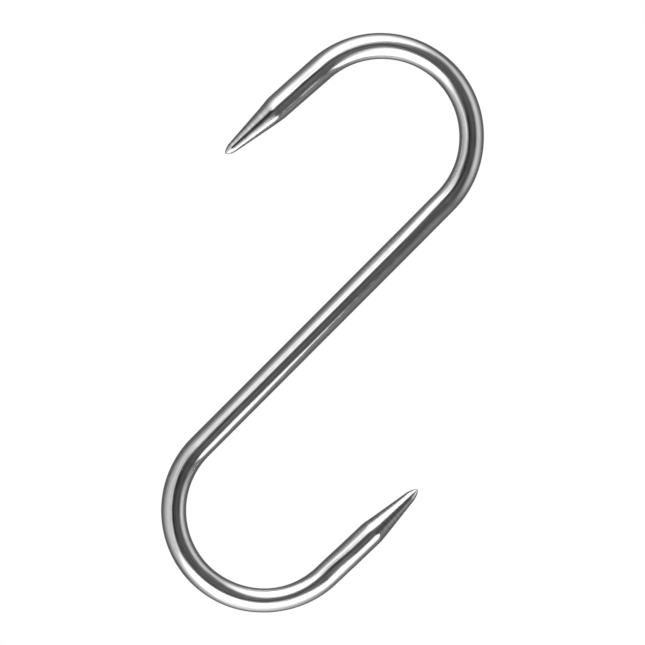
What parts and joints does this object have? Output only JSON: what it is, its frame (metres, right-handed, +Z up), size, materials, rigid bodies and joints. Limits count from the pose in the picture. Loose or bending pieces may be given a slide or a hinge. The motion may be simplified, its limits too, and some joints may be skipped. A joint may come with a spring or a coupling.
{
  "type": "meat hook",
  "caption": "S-shaped butcher's hook bent from round stainless bar and ground to a point at both ends, for hanging meat from a rail.",
  "frame": {"origin": "the inside of the upper bend's crown, the point of the bar that rests on the rail; the lower bend hangs straight below it", "axes": "+Z is up as the hook hangs, XZ is the plane of the S, and the hook's thickness is along Y; the upper point is at -X and the lower point at +X"},
  "size_m": [0.0921, 0.008, 0.1926],
  "materials": {
    "polished_stainless": "polished"
  },
  "bodies": {
    "root": {"s_hook": "polished_stainless"}
  },
  "joints": []
}
